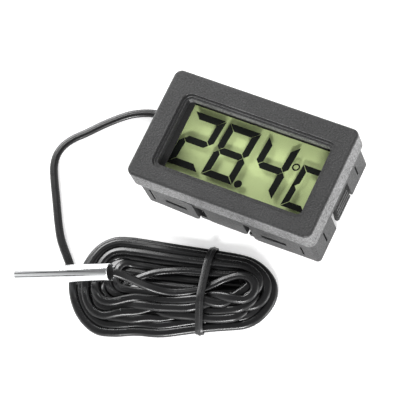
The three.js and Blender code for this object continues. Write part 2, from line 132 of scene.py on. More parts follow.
def on_table(u, v, z):
    """A place given along and across the hank, and a height, in millimetres, in metres on the table."""
    return HANK_CENTRE + Matrix.Rotation(HANK_TURN, 3, "Z") @ Vector((u * MM, v * MM, z * MM))


def turn_shape(turn):
    """Where one turn of the hank runs, in millimetres along it, across it and above the table.

    The numbers are its left and right ends, its near side at the left and the right, its far side at
    the left and the right, and the heights of both sides. The first turns make the outer oval and pile
    up; the rest lie lower, inside it. The very first one strays out at the left.
    """
    if turn < OUTER_TURNS:
        wound = turn / (OUTER_TURNS - 1)
        stray = FIRST_TURN_STRAY if turn == 0 else 0
        return np.array([
            -22.2 + 3.2 * wound + stray, 22.6 - 1.6 * wound,
            -10.2 + 3.0 * wound - 1.1 * stray, -3.0 + 0.8 * wound,
            10.9 - 2.2 * wound, 6.4 - 1.6 * wound,
            0.9 + 2.6 * wound, 0.7 + 3.6 * wound])
    wound = (turn - OUTER_TURNS) / (CABLE_TURNS - 1 - OUTER_TURNS)
    return np.array([
        -18.0 + 3.0 * wound, 20.8 - 2.4 * wound,
        -6.6 + 3.6 * wound, -4.6 + 2.2 * wound,
        0.8 + 4.4 * wound, 2.8 + 2.6 * wound,
        2.2 + 1.6 * wound, 0.8 + 1.6 * wound])


def round_ended(share, half_long, half_wide):
    """A place on an oval with straight sides and half-round ends, as -1 to 1 along it and across it.

    The share is counted from the middle of the left end.
    """
    straight = 2 * (half_long - half_wide)
    quarter = math.pi / 2 * half_wide
    done = share * (4 * quarter + 2 * straight)
    side = 1
    if done > 2 * quarter + straight:
        done -= 2 * quarter + straight
        side = -1
    if done < quarter:
        angle = math.pi + done / half_wide
        place = (-straight / 2 + half_wide * math.cos(angle), half_wide * math.sin(angle))
    elif done < quarter + straight:
        place = (-straight / 2 + done - quarter, -half_wide)
    else:
        angle = (done - quarter - straight) / half_wide - math.pi / 2
        place = (straight / 2 + half_wide * math.cos(angle), half_wide * math.sin(angle))
    return side * place[0] / half_long, side * place[1] / half_wide


def hank_route():
    """The turns of the hank, each an oval with round ends, running on smoothly into the next one.

    The route starts two points round, where the lead has run in, and stops a quarter of the way round
    the last turn.
    """
    route = []
    last_point = POINTS_PER_TURN * (CABLE_TURNS - 1) + POINTS_PER_TURN // 4 + 1
    for i in range(2, last_point + 1):
        turn, share = divmod(i / POINTS_PER_TURN, 1)
        ease = min(max((share - LEVEL_SHARE) / (1 - LEVEL_SHARE), 0), 1)
        ease = ease * ease * (3 - 2 * ease)
        shape = turn_shape(turn) * (1 - ease) + turn_shape(min(turn + 1, CABLE_TURNS - 1)) * ease
        left, right, near_left, near_right, far_left, far_right, near_height, far_height = shape
        half_long = (right - left) / 2
        half_wide = (far_left + far_right - near_left - near_right) / 4
        along, across = round_ended(share, half_long, half_wide)
        rightward = (along + 1) / 2
        near = near_left + (near_right - near_left) * rightward
        far = far_left + (far_right - far_left) * rightward
        side_height = near_height if across < 0 else far_height
        end_height = 0.5 * (near_height + far_height)
        height = side_height * across ** 2 + end_height * (1 - across ** 2)
        u = (left + right) / 2 + half_long * along
        v = (near + far) / 2 + (far - near) / 2 * across
        route.append(on_table(u, v, height))
    return route


def smooth_path(points, step):
    """Points a step apart on one smooth curve through the given ones, a centripetal Catmull-Rom spline."""
    dense = []
    for i in range(len(points) - 1):
        four = [points[max(i - 1, 0)], points[i], points[i + 1], points[min(i + 2, len(points) - 1)]]
        knots = [0.0]
        for a, b in zip(four, four[1:]):
            knots.append(knots[-1] + max((b - a).length, 1e-6) ** 0.5)
        for j in range(8):
            t = knots[1] + (knots[2] - knots[1]) * j / 8
            layer = four
            for reach in (1, 2):
                layer = [
                    a.lerp(b, (t - knots[k]) / (knots[k + reach] - knots[k]))
                    for k, (a, b) in enumerate(zip(layer, layer[1:]))
                ]
            share = (t - knots[1]) / (knots[2] - knots[1])
            dense.append(layer[0].lerp(layer[1], share))
    dense.append(points[-1])
    spaced = [dense[0]]
    left = step
    for a, b in zip(dense, dense[1:]):
        while (b - a).length >= left:
            a = a.lerp(b, left / (b - a).length)
            spaced.append(a)
            left = step
        left -= (b - a).length
    return spaced


# how near two strands lie, how low one lies, and how many points along it are still the same strand
STRAND_GAP = 0.96 * CABLE_WIDTH
LOWEST_MIDDLE = 0.68 * CABLE_THICK
SAME_STRAND = 5
# what one pass of the settling does, and how often it looks for the strands that lie near each other
SETTLING_PASSES = 260
PASSES_PER_LOOK = 8
SINK_PER_PASS = 0.018 * MM
LONGEST_SHIFT = 0.25 * MM
PUSH_SHARE = 0.3
STRAIGHTENING = 0.3
PULL_BACK = 0.01
TINY = 1e-9


def settled(points, held_start, held_end):
    """Lets a route settle under its own weight: flat strands keep clear of each other and of the table.

    So many points at the start and at the end are held, the outermost ones fast. A strand is wider than
    it is thick, so heights are stretched where distances between strands are taken.
    """
    rest = np.array([tuple(p) for p in points])
    place = rest.copy()
    count = len(place)
    stretch = np.array([1, 1, CABLE_WIDTH / CABLE_THICK])
    free = np.ones(count)
    free[:held_start] = np.linspace(0, 1, held_start)
    free[-held_end:] = np.linspace(1, 0, held_end)
    free = free[:, None]
    bend_at_rest = rest[:-2] + rest[2:] - 2 * rest[1:-1]
    for pass_number in range(SETTLING_PASSES):
        if pass_number % PASSES_PER_LOOK == 0:
            tall = place * stretch
            gap = np.linalg.norm(tall[:, None] - tall[None], axis=2)
            first, second = np.nonzero(np.triu(gap < STRAND_GAP * 1.5, SAME_STRAND))
        place[:, 2] -= SINK_PER_PASS * free[:, 0]
        apart = (place[second] - place[first]) * stretch
        distance = np.maximum(np.linalg.norm(apart, axis=1), TINY)
        push = np.maximum(STRAND_GAP - distance, 0) * PUSH_SHARE
        step = apart / distance[:, None] * push[:, None] / stretch
        shift = np.zeros_like(place)
        np.add.at(shift, second, step)
        np.add.at(shift, first, -step)
        for _ in range(2):
            shift[1:-1] = (shift[:-2] + 2 * shift[1:-1] + shift[2:]) / 4
        length = np.maximum(np.linalg.norm(shift, axis=1), TINY)
        shift *= np.minimum(1, LONGEST_SHIFT / length)[:, None]
        place += shift * free
        bend = place[:-2] + place[2:] - 2 * place[1:-1] - bend_at_rest
        place[1:-1] += STRAIGHTENING * bend * free[1:-1]
        place[:, :2] += PULL_BACK * (rest[:, :2] - place[:, :2])
        curve = place[:-2] + place[2:] - 2 * place[1:-1]
        size = np.maximum(np.linalg.norm(curve, axis=1), TINY)
        too_tight = np.maximum(size - CABLE_STEP ** 2 / TIGHTEST_BEND, 0) / size
        place[1:-1] += 0.5 * curve * too_tight[:, None] * free[1:-1]
        place[:, 2] = np.maximum(place[:, 2], LOWEST_MIDDLE)
    return [Vector(p) for p in place]


def twin_section(sides=28):
    """The outline of the twin lead: a flat oval with a shallow groove along the middle of each face."""
    outline = []
    for i in range(sides):
        angle = math.tau * i / sides
        across = CABLE_WIDTH / 2 * math.cos(angle)
        groove = GROOVE_DEPTH * math.exp(-(across / GROOVE_WIDTH) ** 2)
        up = math.sin(angle) * (1 - groove)
        outline.append((across, CABLE_THICK / 2 * up))
    return outline


def swept(name, path, section, lean):
    """A closed solid of the section carried along the path, leaning by lean(share of the way) radians."""
    bm = bmesh.new()
    rings = []
    for i, point in enumerate(path):
        ahead = (path[min(i + 1, len(path) - 1)] - path[max(i - 1, 0)]).normalized()
        across = ahead.cross(Vector((0, 0, 1))).normalized()
        turned = Matrix.Rotation(lean(i / (len(path) - 1)), 3, ahead)
        across = turned @ across
        up = across.cross(ahead)
        rings.append([bm.verts.new(point + across * x + up * y) for x, y in section])
    for ring, after in zip(rings, rings[1:]):
        for j in range(len(section)):
            k = (j + 1) % len(section)
            bm.faces.new((ring[j], ring[k], after[k], after[j]))
    bm.faces.new(rings[0])
    bm.faces.new(rings[-1])
    bmesh.ops.recalc_face_normals(bm, faces=bm.faces)
    return linked(name, bm, 50)


def linked(name, bm, sharp_degrees):
    """The mesh as a piece in the scene, smooth but for edges sharper than the given angle."""
    mesh = bpy.data.meshes.new(name)
    bm.to_mesh(mesh)
    bm.free()
    mesh.shade_smooth()
    mesh.set_sharp_from_angle(angle=math.radians(sharp_degrees))
    piece = bpy.data.objects.new(name, mesh)
    scene.collection.objects.link(piece)
    return piece


def add_node(tree, kind, links=(), values=(), **settings):
    """A new shader node with its settings made, its inputs filled in, and its other inputs linked."""
    node = tree.nodes.new(kind)
    for setting, value in settings.items():
        setattr(node, setting, value)
    for socket, value in dict(values).items():
        node.inputs[socket].default_value = value
    for socket, source in dict(links).items():
        tree.links.new(source, node.inputs[socket])
    return node


def new_material(name, colour, roughness, metallic=0.0, specular=0.5):
    """A material with one Principled shader, with its node tree and that shader to build on."""
    material = bpy.data.materials.new(name)
    material.use_nodes = True
    tree = material.node_tree
    tree.nodes.clear()
    shader = add_node(tree, "ShaderNodeBsdfPrincipled", values={
        "Base Color": (*colour, 1), "Roughness": roughness,
        "Metallic": metallic, "Specular IOR Level": specular})
    add_node(tree, "ShaderNodeOutputMaterial", {"Surface": shader.outputs["BSDF"]})
    return material, tree, shader


def grain_group():
    """Mottled colour, uneven gloss and a fine relief, from two sizes of noise in the piece's own space."""
    group = bpy.data.node_groups.new("surface_grain", "ShaderNodeTree")
    group.interface.new_socket("Colour", in_out="INPUT", socket_type="NodeSocketColor")
    for label in ("Grain Size", "Mottle", "Relief", "Dull", "Glossy"):
        group.interface.new_socket(label, in_out="INPUT", socket_type="NodeSocketFloat")
    for label, kind in (("Colour", "Color"), ("Roughness", "Float"), ("Normal", "Vector")):
        group.interface.new_socket(label, in_out="OUTPUT", socket_type="NodeSocket" + kind)
    given = add_node(group, "NodeGroupInput").outputs
    place = add_node(group, "ShaderNodeTexCoord").outputs["Object"]
    per_metre = add_node(group, "ShaderNodeMath", {1: given["Grain Size"]}, {0: 1.0}, operation="DIVIDE")
    fine = add_node(group, "ShaderNodeTexNoise", {"Vector": place, "Scale": per_metre.outputs[0]},
                    {"Detail": 2.0, "Roughness": 0.6})
    broad = add_node(group, "ShaderNodeTexNoise", {"Vector": place}, {"Scale": 130.0, "Detail": 3.0})
    both = add_node(group, "ShaderNodeMath", {0: broad.outputs["Fac"], 2: fine.outputs["Fac"]}, {1: 0.35},
                    operation="MULTIPLY_ADD")
    spread = add_node(group, "ShaderNodeMapRange", {"Value": both.outputs[0]},
                      {"From Min": 0.45, "From Max": 0.9})
    dark = add_node(group, "ShaderNodeMath", {1: given["Mottle"]}, {0: 1.0}, operation="SUBTRACT")
    pale = add_node(group, "ShaderNodeMath", {1: given["Mottle"]}, {0: 1.0}, operation="ADD")
    strength = add_node(group, "ShaderNodeMapRange", {
        "Value": spread.outputs["Result"], "To Min": dark.outputs[0], "To Max": pale.outputs[0]})
    tint = add_node(group, "ShaderNodeVectorMath", {0: given["Colour"], "Scale": strength.outputs["Result"]},
                    operation="SCALE")
    gloss = add_node(group, "ShaderNodeMapRange", {
        "Value": spread.outputs["Result"], "To Min": given["Dull"], "To Max": given["Glossy"]})
    bump = add_node(group, "ShaderNodeBump", {"Strength": given["Relief"], "Height": both.outputs[0]},
                    {"Distance": 0.1 * MM})
    add_node(group, "NodeGroupOutput", {
        "Colour": tint.outputs["Vector"], "Roughness": gloss.outputs["Result"],
        "Normal": bump.outputs["Normal"]})
    return group


SURFACE_GRAIN = grain_group()


def grained(name, colour, grain, mottle, relief, gloss, metallic=0.0, specular=0.5):
    """A material with the grain in it: its size in millimetres, and gloss as roughness, dull to glossy."""
    material, tree, shader = new_material(name, colour, gloss[0], metallic, specular)
    group = add_node(tree, "ShaderNodeGroup", node_tree=SURFACE_GRAIN, values={
        "Colour": (*colour, 1), "Grain Size": grain * MM, "Mottle": mottle,
        "Relief": relief, "Dull": gloss[0], "Glossy": gloss[1]})
    for made, taken in (("Colour", "Base Color"), ("Roughness", "Roughness"), ("Normal", "Normal")):
        tree.links.new(group.outputs[made], shader.inputs[taken])
    return material


def placed(piece, material, body):
    """Gives a piece its material and the body it rides on."""
    piece.data.materials.clear()
    piece.data.materials.append(material)
    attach(piece, body)
    return piece


def cable_route():
    """The whole metre: the lead, the way round to the hank's near side, its turns, and the tail."""
    into = [on_table(-24.8, 2.0, 0.9), on_table(-23.2, -1.8, 0.9)]
    last_end = [on_table(*place) for place in (
        (16.0, -2.9, 4.3), (19.4, -1.8, 4.4), (21.0, 0.8, 4.6), (19.6, 3.3, 4.9), (16.6, 4.2, 5.1),
        (13.2, 3.2, 5.2), (10.2, 1.3, 5.3), (8.4, 0.0, 5.35))]
    lead = [Vector(place) for place in LEAD]
    tail = [Vector(place) for place in reversed(TAIL)]
    return smooth_path(lead + into + hank_route() + last_end + tail, CABLE_STEP)


LOOSE_LEAN = math.radians(6)
LEAD_SHARE = 0.08
TAIL_SHARE = 0.985


def cable_lean(share):
    """How far the twin lead leans over: hardly where it lies loose, and rolling slowly in the hank."""
    past_lead = min(max((share - LEAD_SHARE) / 0.05, 0), 1)
    before_tail = min(max((TAIL_SHARE - share) / 0.03, 0), 1)
    rolling = 0.12 + 0.14 * math.sin(share * 61) + 0.1 * math.sin(share * 143 + 1)
    return LOOSE_LEAN + past_lead * before_tail * rolling


cable_path = settled(cable_route(), held_start=14, held_end=26)
cable = swept("probe_cable", cable_path, twin_section(), cable_lean)
CABLE_PVC = grained("cable_pvc", (0.007, 0.007, 0.0075), 2.5, 0.2, 0.015, (0.34, 0.24))
placed(cable, CABLE_PVC, "module")
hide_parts("probe_cable_lead", "probe_cable_hank", "probe_cable_tail")

# ---------------------------------------------------------------------------------------------
# Cable tie: a flat plastic-covered wire wrapped once round the hank and pulled tight, so it
# follows the outline of the strands under it. The wire shows as a ridge along the middle.
# ---------------------------------------------------------------------------------------------
TIE_WIDTH = 1.8 * MM
TIE_THICK = 0.42 * MM
TIE_ALONG = 8.4
TIE_RIDGE = 0.3 * MM
TIE_CATCHES = 1.4 * MM  # to either side of its middle
TIE_DRIFT = 0.35 * MM


def outline_round(points):
    """The convex outline of flat points, counter-clockwise."""
    points = sorted(set(points))
    halves = []
    for run in (points, points[::-1]):
        half = []
        for point in run:
            while len(half) > 1:
                (ax, ay), (bx, by) = half[-2], half[-1]
                if (bx - ax) * (point[1] - ay) - (by - ay) * (point[0] - ax) > 0:
                    break
                half.pop()
            half.append(point)
        halves += half[:-1]
    return halves


def tie_loop():
    """The middle line of the tie round the strands that pass under it, as places on the table."""
    to_hank = Matrix.Rotation(-HANK_TURN, 3, "Z")
    reach = CABLE_WIDTH * 0.56 + TIE_THICK / 2
    cloud = []
    for point in cable_path:
        here = to_hank @ (point - HANK_CENTRE)
        if abs(here.x - TIE_ALONG * MM) < TIE_CATCHES:
            for i in range(16):
                angle = math.tau * i / 16
                height = here.z + 0.8 * reach * math.sin(angle)
                cloud.append((here.y + reach * math.cos(angle), max(height, TIE_THICK / 2 + 0.01 * MM)))
    corners = outline_round(cloud)
    loop = []
    for a, b in zip(corners, corners[1:] + corners[:1]):
        steps = max(1, round(math.dist(a, b) / (0.5 * MM)))
        for i in range(steps):
            share = i / steps
            loop.append(Vector((a[0] + (b[0] - a[0]) * share, a[1] + (b[1] - a[1]) * share)))
    for _ in range(3):
        loop = [(loop[i - 1] + loop[i] * 2 + loop[(i + 1) % len(loop)]) / 4 for i in range(len(loop))]
    return loop


def wrapped_tie():
    """A closed band with a ridge, carried round the loop; it drifts sideways as it crosses over."""
    loop = tie_loop()
    count = len(loop)
    half = TIE_WIDTH / 2
    side = [(half, -0.5), (half, 0.3), (0.5 * half, 0.5), (0.28 * half, 0.5), (0.16 * half, 1.0)]
    section = [(-half, -0.5)] + side + [(-across, up) for across, up in side[:0:-1]]
    bm = bmesh.new()
    rings = []
    for i, place in enumerate(loop):
        ahead = (loop[(i + 1) % count] - loop[i - 1]).normalized()
        out = Vector((ahead.y, -ahead.x))
        drift = TIE_DRIFT * math.sin(math.tau * i / count)
        ring = []
        for across, up in section:
            lift = up * (TIE_THICK if up <= 0.5 else TIE_RIDGE + 0.2 * TIE_THICK)
            spot = place + out * lift
            height = max(spot.y, 0.02 * MM)
            ring.append(bm.verts.new(on_table(TIE_ALONG + (across + drift) / MM, spot.x / MM, height / MM)))
        rings.append(ring)
    for i, ring in enumerate(rings):
        after = rings[(i + 1) % count]
        for j in range(len(section)):
            k = (j + 1) % len(section)
            bm.faces.new((ring[j], ring[k], after[k], after[j]))
    bmesh.ops.recalc_face_normals(bm, faces=bm.faces)
    return linked("wrapped_tie", bm, 50)


tie = wrapped_tie()
TIE_PLASTIC = grained("tie_plastic", (0.014, 0.014, 0.0145), 0.8, 0.3, 0.12, (0.36, 0.24))
placed(tie, TIE_PLASTIC, "module")
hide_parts("cable_tie")

# ---------------------------------------------------------------------------------------------
# Probe: a drawn stainless steel tube with a domed, closed tip, which holds the thermistor bead.
# Black resin seals its open end round the cable; the tip rests on the table.
# ---------------------------------------------------------------------------------------------
PROBE_RADIUS = 2.1 * MM
PROBE_WALL = 0.35 * MM
PROBE_DOME = 1.5 * MM
PROBE_TIP = Vector((-0.0443, -0.0433, 0.00215))
PROBE_END = Vector((-0.0193, -0.0358, 0.009))


def turned_part(name, profile, start, towards, sides=64):
    """A solid turned from (along, radius) pairs about the line from start towards another place."""
    axis = (towards - start).normalized()
    turn = axis.to_track_quat("Z", "Y").to_matrix()
    bm = bmesh.new()
    rings = []
    for along, radius in profile:
        if radius == 0:
            rings.append([bm.verts.new(start + axis * along)])
            continue
        rings.append([
            bm.verts.new(start + turn @ Vector((radius * math.cos(a), radius * math.sin(a), along)))
            for a in (math.tau * i / sides for i in range(sides))
        ])
    for ring, after in zip(rings, rings[1:]):
        for j in range(sides):
            corners = [ring[j % len(ring)], ring[(j + 1) % len(ring)],
                       after[(j + 1) % len(after)], after[j % len(after)]]
            bm.faces.new(list(dict.fromkeys(corners)))
    bmesh.ops.recalc_face_normals(bm, faces=bm.faces)
    return linked(name, bm, 40)


def probe_tube():
    """The tube's outline: outside from the tip to the rolled open lip, then back down the bore."""
    length = (PROBE_END - PROBE_TIP).length
    outer = PROBE_RADIUS
    inner = PROBE_RADIUS - PROBE_WALL
    corner = outer - PROBE_DOME
    profile = [(0.0, 0.0), (0.0, corner * 0.5), (0.0, corner * 0.9)]
    for i in range(1, 13):
        angle = math.pi / 2 * i / 12
        profile.append((PROBE_DOME * (1 - math.cos(angle)), corner + PROBE_DOME * math.sin(angle)))
    profile += [
        (length - 0.16 * MM, outer), (length - 0.05 * MM, outer - 0.05 * MM), (length, outer - 0.13 * MM),
        (length, inner + 0.1 * MM), (length - 0.1 * MM, inner), (1.2 * MM, inner),
        (0.6 * MM, 0.8 * inner), (0.45 * MM, 0.0)]
    return turned_part("probe_tube", profile, PROBE_TIP, PROBE_END)


def steel():
    """Drawn and polished steel: bright, with fine lines round the tube and a few duller patches."""
    material, tree, shader = new_material("probe_steel", (0.8, 0.81, 0.82), 0.14, metallic=1.0)
    place = add_node(tree, "ShaderNodeTexCoord").outputs["Object"]
    squeezed = add_node(tree, "ShaderNodeMapping", {"Vector": place}, {"Scale": (9000, 300, 300)})
    lines = add_node(tree, "ShaderNodeTexNoise", {"Vector": squeezed.outputs["Vector"]},
                     {"Scale": 1.0, "Detail": 2.0})
    patches = add_node(tree, "ShaderNodeTexNoise", {"Vector": place}, {"Scale": 420.0, "Detail": 4.0})
    gloss = add_node(tree, "ShaderNodeMapRange", {"Value": patches.outputs["Fac"]},
                     {"From Min": 0.35, "From Max": 0.7, "To Min": 0.1, "To Max": 0.22})
    bump = add_node(tree, "ShaderNodeBump", {"Height": lines.outputs["Fac"]},
                    {"Strength": 0.08, "Distance": 0.02 * MM})
    tree.links.new(gloss.outputs["Result"], shader.inputs["Roughness"])
    tree.links.new(bump.outputs["Normal"], shader.inputs["Normal"])
    return material


STEEL = steel()
tube = placed(probe_tube(), STEEL, "module")
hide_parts("probe_sleeve")
BLACK_RESIN = grained("black_resin", (0.012, 0.012, 0.012), 0.5, 0.3, 0.3, (0.5, 0.25))
placed(frame["nodes"]["probe_seal"], BLACK_RESIN, "module")
placed(frame["nodes"]["thermistor_bead"], BLACK_RESIN, "module")

# ---------------------------------------------------------------------------------------------
# Front housing: one moulding of charcoal ABS with a fine sparked grain. The bezel and the walls
# are one piece; every edge has the small radius that the mould leaves.
# ---------------------------------------------------------------------------------------------
HOUSING_EDGE = 0.14 * MM


def dressed(node, material):
    """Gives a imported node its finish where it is."""
    piece = frame["nodes"][node]
    return placed(piece, material, piece["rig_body"])


def moulded(node, name, material, edge, sharp_degrees=35):
    """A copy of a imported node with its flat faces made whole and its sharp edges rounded."""
    packed = frame["nodes"][node]
    bm = bmesh.new()
    bm.from_mesh(packed.data)
    bmesh.ops.remove_doubles(bm, verts=bm.verts, dist=0.002 * MM)
    bmesh.ops.dissolve_limit(bm, angle_limit=math.radians(1.5), verts=bm.verts, edges=bm.edges)
    piece = linked(name, bm, sharp_degrees)
    rounded = piece.modifiers.new("rounded_edges", "BEVEL")
    rounded.width = edge
    rounded.segments = 2
    rounded.limit_method = "ANGLE"
    rounded.angle_limit = math.radians(sharp_degrees)
    flat = piece.modifiers.new("flat_faces", "WEIGHTED_NORMAL")
    flat.keep_sharp = True
    flat.weight = 100
    placed(piece, material, packed["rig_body"])
    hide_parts(node)
    return piece


BEZEL_BACK = 11.5 * MM
BEZEL_HALF_LONG = 23.6 * MM
BEZEL_HALF_WIDE = 13.9 * MM
HOUSING_ABS = grained("housing_abs", (0.02, 0.02, 0.0205), 0.42, 0.7, 1.0, (0.56, 0.42))
# a copy of the housing plastic six times paler, with the same grain: painted light for the faces that catch
# the most light
HOUSING_PAINTED_PALE = grained("housing_painted_pale", (0.13, 0.13, 0.131), 0.45, 0.75, 1.0, (0.6, 0.42))
housing = moulded("front_housing", "housing_moulding", HOUSING_ABS, HOUSING_EDGE)
# the upright sides of the bezel and the steps under the top of the window get the paler copy: painted light
# for the bright floor and lamps that these faces catch
housing.data.materials.append(HOUSING_PAINTED_PALE)
for face in housing.data.polygons:
    on_rim = abs(face.center.x) > BEZEL_HALF_LONG or abs(face.center.y) > BEZEL_HALF_WIDE
    under_window_top = face.normal.y < -0.6
    upright_face = abs(face.normal.z) < 0.5
    if (on_rim or under_window_top) and upright_face and face.center.z > BEZEL_BACK:
        face.material_index = 1

# ---------------------------------------------------------------------------------------------
# Snap tongues: the toothed springs in the end walls, which bend inwards and click behind the
# panel. They are moulded in the same plastic; the teeth are crisper than the housing's edges.
# ---------------------------------------------------------------------------------------------
for side in ("right", "left"):
    moulded(f"snap_tongue_{side}", f"tongue_{side}_moulding", HOUSING_ABS, 0.05 * MM)

# ---------------------------------------------------------------------------------------------
# Display: a soft black gasket, a frosted polariser, two plates of glass with the dark crystal
# between them, and a green reflector behind. It reads 28.4 degrees.
# ---------------------------------------------------------------------------------------------
DIGIT_Z = (13.03 * MM, 13.05 * MM)
DIGIT_LEAN = 0.085
DIGIT_TOP = 6.2
DIGIT_MIDDLE = -0.1
DIGIT_FOOT = -6.25
DIGIT_WIDTH = 6.5
STROKE = 1.7
HAIRLINE = 0.09
# where each digit's left strokes stand, and the strokes that are dark
DIGITS = ((-16.2, "abged"), (-7.0, "abcdefg"), (3.3, "fgbc"))
POINT_PLACE = (1.6, -6.35)
POINT_RADIUS = 0.95
DEGREE_PLACE = (11.95, 2.2)
DEGREE_RADII = (0.95, 0.58)


def crossbar(left, right, height, inner_side, stroke=STROKE):
    """A horizontal stroke with mitred ends.

    Its inner side is -1, below it, for a top bar, 1 for a foot, and 0 for the middle bar.
    """
    half = stroke / 2
    left, right = left + HAIRLINE, right - HAIRLINE
    if inner_side == 0:
        return [(left, height), (left + half, height - half), (right - half, height - half),
                (right, height), (right - half, height + half), (left + half, height + half)]
    outer, inner = height - inner_side * half, height + inner_side * half
    return [(left - half, outer), (right + half, outer), (right - half, inner), (left + half, inner)]


def upright(x, low, high, inner_side, pointed_low, pointed_high, stroke=STROKE):
    """A vertical stroke; its ends are pointed where it meets the middle bar and mitred at a corner."""
    half = stroke / 2
    low, high = low + HAIRLINE, high - HAIRLINE
    outer, inner = x - inner_side * half, x + inner_side * half
    foot = [(outer, low + half), (x, low), (inner, low + half)] if pointed_low else \
        [(outer, low - half), (inner, low + half)]
    head = [(inner, high - half), (x, high), (outer, high - half)] if pointed_high else \
        [(inner, high - half), (outer, high + half)]
    return foot + head


def digit(x, strokes):
    """The outlines of a seven-stroke digit whose left strokes stand at x."""
    right = x + DIGIT_WIDTH
    shapes = {
        "a": lambda: crossbar(x, right, DIGIT_TOP, -1),
        "b": lambda: upright(right, DIGIT_MIDDLE, DIGIT_TOP, -1, True, False),
        "c": lambda: upright(right, DIGIT_FOOT, DIGIT_MIDDLE, -1, False, True),
        "d": lambda: crossbar(x, right, DIGIT_FOOT, 1),
        "e": lambda: upright(x, DIGIT_FOOT, DIGIT_MIDDLE, 1, False, True),
        "f": lambda: upright(x, DIGIT_MIDDLE, DIGIT_TOP, 1, True, False),
        "g": lambda: crossbar(x, right, DIGIT_MIDDLE, 0),
    }
    return [shapes[stroke]() for stroke in strokes]


def unit_sign():
    """The small C for degrees Celsius: two bars and two short uprights."""
    left, right, top, foot, middle, stroke = 14.0, 18.7, 2.7, -6.95, -2.1, 1.5
    return [
        crossbar(left, right, top, -1, stroke),
        upright(left, middle, top, 1, False, False, stroke),
        upright(left, foot, middle, 1, False, False, stroke),
        crossbar(left, right, foot, 1, stroke),
    ]


def circle(place, radius, sides=28):
    """A circle about a place on the display, as an outline."""
    corners = (math.tau * i / sides for i in range(sides))
    return [(place[0] + radius * math.cos(angle), place[1] + radius * math.sin(angle)) for angle in corners]


def leaned(x, y):
    """A place on the display in metres, moved over by the lean that all its signs have."""
    return (x + DIGIT_LEAN * (y - DIGIT_MIDDLE)) * MM, y * MM


def dark_crystal():
    """Every stroke as a thin plate between the two glasses; the degree ring is open in the middle."""
    bm = bmesh.new()
    outlines = []
    for x, strokes in DIGITS:
        outlines += digit(x, strokes)
    outlines += unit_sign()
    outlines.append(circle(POINT_PLACE, POINT_RADIUS))
    for outline in outlines:
        low_ring, high_ring = ([bm.verts.new((*leaned(x, y), z)) for x, y in outline] for z in DIGIT_Z)
        bm.faces.new(low_ring)
        bm.faces.new(high_ring)
        for j in range(len(outline)):
            k = (j + 1) % len(outline)
            bm.faces.new((low_ring[j], low_ring[k], high_ring[k], high_ring[j]))
    rings = [[bm.verts.new((*leaned(x, y), z)) for x, y in circle(DEGREE_PLACE, radius)]
             for radius in DEGREE_RADII for z in DIGIT_Z]
    for first, second in ((0, 1), (1, 3), (3, 2), (2, 0)):
        for j in range(len(rings[0])):
            k = (j + 1) % len(rings[0])
            bm.faces.new((rings[first][j], rings[first][k], rings[second][k], rings[second][j]))
    bmesh.ops.recalc_face_normals(bm, faces=bm.faces)
    return linked("display_digits", bm, 30)


def clear(name, colour, facing, grazing, roughness):
    """A plate that light goes straight through, and that shines more the flatter it is looked along."""
    material, tree, shader = new_material(name, colour, roughness, specular=0.8)
    slant = add_node(tree, "ShaderNodeLayerWeight")
    cover = add_node(tree, "ShaderNodeMapRange", {"Value": slant.outputs["Facing"]},
                     {"From Min": 0.3, "To Min": facing, "To Max": grazing}, interpolation_type="SMOOTHSTEP")
    place = add_node(tree, "ShaderNodeTexCoord").outputs["Object"]
    smear = add_node(tree, "ShaderNodeTexNoise", {"Vector": place}, {"Scale": 180.0, "Detail": 3.0})
    gloss = add_node(tree, "ShaderNodeMapRange", {"Value": smear.outputs["Fac"]},
                     {"To Min": roughness * 0.7, "To Max": roughness * 1.3})
    tree.links.new(cover.outputs["Result"], shader.inputs["Alpha"])
    tree.links.new(gloss.outputs["Result"], shader.inputs["Roughness"])
    return material


def laminate():
    """The polariser and both glasses as they are bonded: one clear block with slightly rounded edges."""
    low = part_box("lcd_rear_glass")[0]
    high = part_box("lcd_front_polariser")[1]
    bm = bmesh.new()
    bmesh.ops.create_cube(bm, size=1.0)
    for vert in bm.verts:
        vert.co = Vector(high[i] if vert.co[i] > 0 else low[i] for i in range(3))
    bmesh.ops.bevel(bm, geom=bm.edges, offset=0.08 * MM, segments=2, profile=0.5, affect="EDGES")
    return linked("display_cell", bm, 30)


GASKET_RUBBER = grained("gasket_rubber", (0.012, 0.012, 0.012), 0.4, 0.3, 0.3, (0.8, 0.6))
dressed("lcd_gasket", GASKET_RUBBER)
CLEAR_LAMINATE = clear("clear_laminate", (0.3, 0.32, 0.26), facing=0.01, grazing=0.3, roughness=0.3)
display_cell = placed(laminate(), CLEAR_LAMINATE, "module")
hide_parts("lcd_front_polariser", "lcd_front_glass", "lcd_rear_glass")
DARK_CRYSTAL = grained("dark_crystal", (0.004, 0.005, 0.0045), 0.5, 0.2, 0.05, (0.6, 0.45), specular=0.04)
placed(dark_crystal(), DARK_CRYSTAL, "module")
DISPLAY_GREEN = grained("display_green", (0.55, 0.66, 0.31), 0.35, 0.035, 0.06, (0.75, 0.6), specular=0.1)
dressed("lcd_reflector", DISPLAY_GREEN)

# ---------------------------------------------------------------------------------------------
# Contact strips, circuit board and what is soldered on it: a green board on four small screws,
# a chip under a drop of black resin, two resistors and two capacitors.
# ---------------------------------------------------------------------------------------------
BOARD_GREEN = grained("solder_mask", (0.012, 0.09, 0.03), 1.2, 0.35, 0.2, (0.45, 0.28))
CERAMIC = grained("ceramic", (0.38, 0.27, 0.15), 0.3, 0.12, 0.15, (0.6, 0.45))
dressed("circuit_board", BOARD_GREEN)
for end in ("upper", "lower"):
    dressed(f"contact_strip_{end}", GASKET_RUBBER)
dressed("chip_blob", BLACK_RESIN)
for number in (1, 2):
    dressed(f"resistor_{number}", CERAMIC)
    dressed(f"capacitor_{number}", CERAMIC)
for number in (1, 2, 3, 4):
    moulded(f"board_screw_{number}", f"screw_{number}", STEEL, 0.05 * MM)

